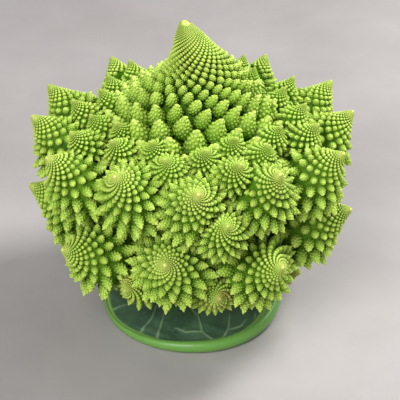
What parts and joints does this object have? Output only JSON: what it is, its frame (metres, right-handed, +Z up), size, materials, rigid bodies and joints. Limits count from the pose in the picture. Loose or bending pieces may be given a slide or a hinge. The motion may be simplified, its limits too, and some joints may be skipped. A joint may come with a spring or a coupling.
{
  "type": "romanesco head",
  "caption": "Romanesco head with pointed spiral florets on short stems round a central stalk and spire, standing on one of its own leaves.",
  "frame": {"origin": "middle of the leaf's flat underside, on the surface that the head stands on", "axes": "+Z up along the stalk to the spire, -Y towards the open front of the leaf, +X to the right seen from the front"},
  "size_m": [0.1706, 0.1767, 0.172],
  "materials": {
    "floret": "fresh yellow-green buds, finely bumped, soft satin sheen",
    "crown": "fresh yellow-green buds, finely bumped, soft satin sheen",
    "stalk": "pale green, smooth, moist at the cut",
    "leaf": "dark blue-green waxy blade with pale veins and a bright green midrib"
  },
  "bodies": {
    "root": {"crown": "crown", "floret_01": "floret", "floret_02": "floret", "floret_03": "floret", "floret_04": "floret", "floret_05": "floret", "floret_06": "floret", "floret_07": "floret", "floret_08": "floret", "floret_09": "floret", "floret_10": "floret", "floret_11": "floret", "floret_12": "floret", "floret_13": "floret", "floret_14": "floret", "floret_15": "floret", "floret_16": "floret", "floret_17": "floret", "floret_18": "floret", "floret_19": "floret", "floret_20": "floret", "floret_21": "floret", "floret_22": "floret", "floret_23": "floret", "floret_24": "floret", "floret_25": "floret", "floret_26": "floret", "floret_27": "floret", "floret_28": "floret", "floret_29": "floret", "floret_30": "floret", "floret_31": "floret", "floret_32": "floret", "floret_33": "floret", "floret_34": "floret", "floret_35": "floret", "floret_36": "floret", "floret_37": "floret", "floret_38": "floret", "floret_39": "floret", "floret_40": "floret", "floret_41": "floret", "floret_42": "floret", "floret_43": "floret", "floret_44": "floret", "floret_45": "floret", "floret_46": "floret", "floret_47": "floret", "floret_48": "floret", "floret_49": "floret", "floret_50": "floret", "floret_51": "floret", "floret_52": "floret", "floret_53": "floret", "floret_54": "floret", "floret_55": "floret", "floret_56": "floret", "floret_57": "floret", "leaf": "leaf", "stalk": "stalk"}
  },
  "joints": []
}
